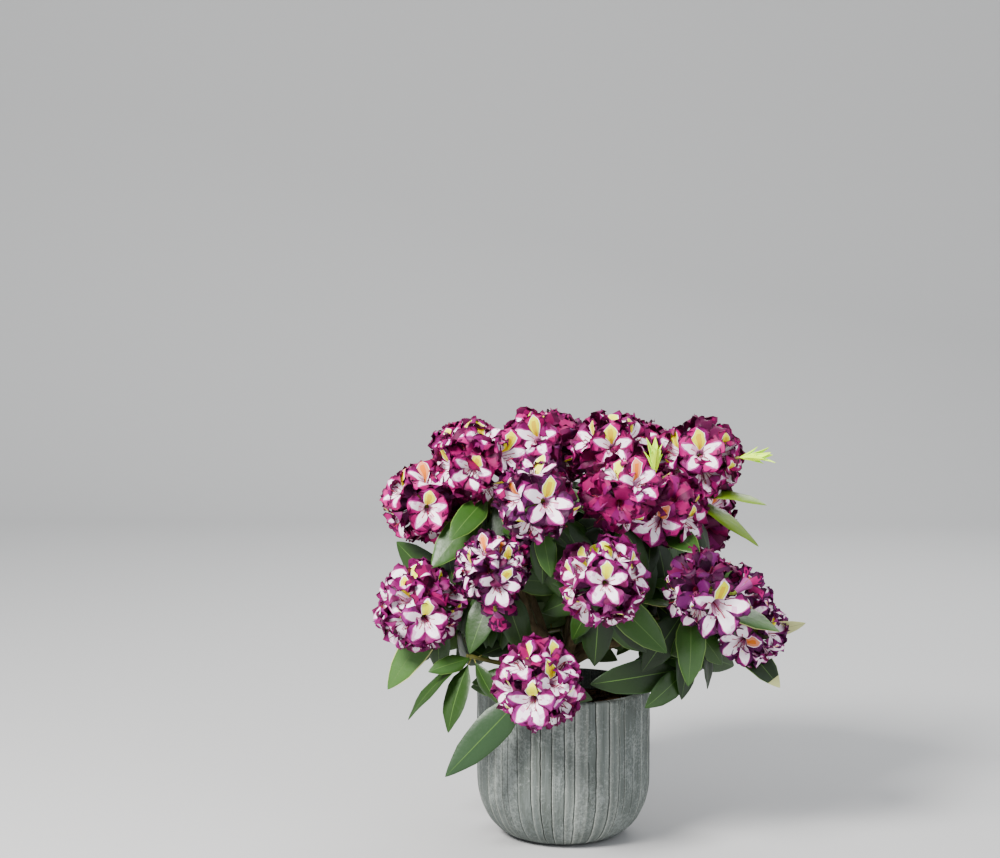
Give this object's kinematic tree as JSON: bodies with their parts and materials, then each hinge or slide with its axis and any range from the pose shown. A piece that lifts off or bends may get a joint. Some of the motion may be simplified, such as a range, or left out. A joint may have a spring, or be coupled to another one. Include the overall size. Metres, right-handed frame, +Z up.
{
  "type": "potted rhododendron",
  "caption": "Evergreen shrub in flower, with round clusters of white and purple florets over whorls of leathery leaves, growing in a round ribbed planter that stands flat.",
  "frame": {"origin": "middle of the planter's flat underside, at ground level", "axes": "+Z up, -Y towards the side the picture shows, +X to the right in it"},
  "size_m": [0.6274, 0.5628, 0.6432],
  "materials": {
    "planter": "weathered matte",
    "soil": "rough",
    "bark": "rough",
    "foliage": "satin"
  },
  "bodies": {
    "root": {"bough_back_left": "bark", "bough_back_left_high": "bark", "bough_back_low": "bark", "bough_back_mid": "bark", "bough_back_right": "bark", "bough_back_right_high": "bark", "bough_centre": "bark", "bough_front_high": "bark", "bough_front_low": "bark", "bough_left": "bark", "bough_left_high": "bark", "bough_right": "bark", "bough_right_high": "bark", "bough_right_top": "bark", "bough_top": "bark", "bough_top_back": "bark", "foliage_back_left": "foliage", "foliage_back_left_high": "foliage", "foliage_back_low": "foliage", "foliage_back_mid": "foliage", "foliage_back_right": "foliage", "foliage_back_right_high": "foliage", "foliage_centre": "foliage", "foliage_front_high": "foliage", "foliage_front_low": "foliage", "foliage_left": "foliage", "foliage_left_high": "foliage", "foliage_right": "foliage", "foliage_right_high": "foliage", "foliage_right_top": "foliage", "foliage_top": "foliage", "foliage_top_back": "foliage", "planter": "planter", "soil": "soil", "trunk": "bark"}
  },
  "joints": []
}
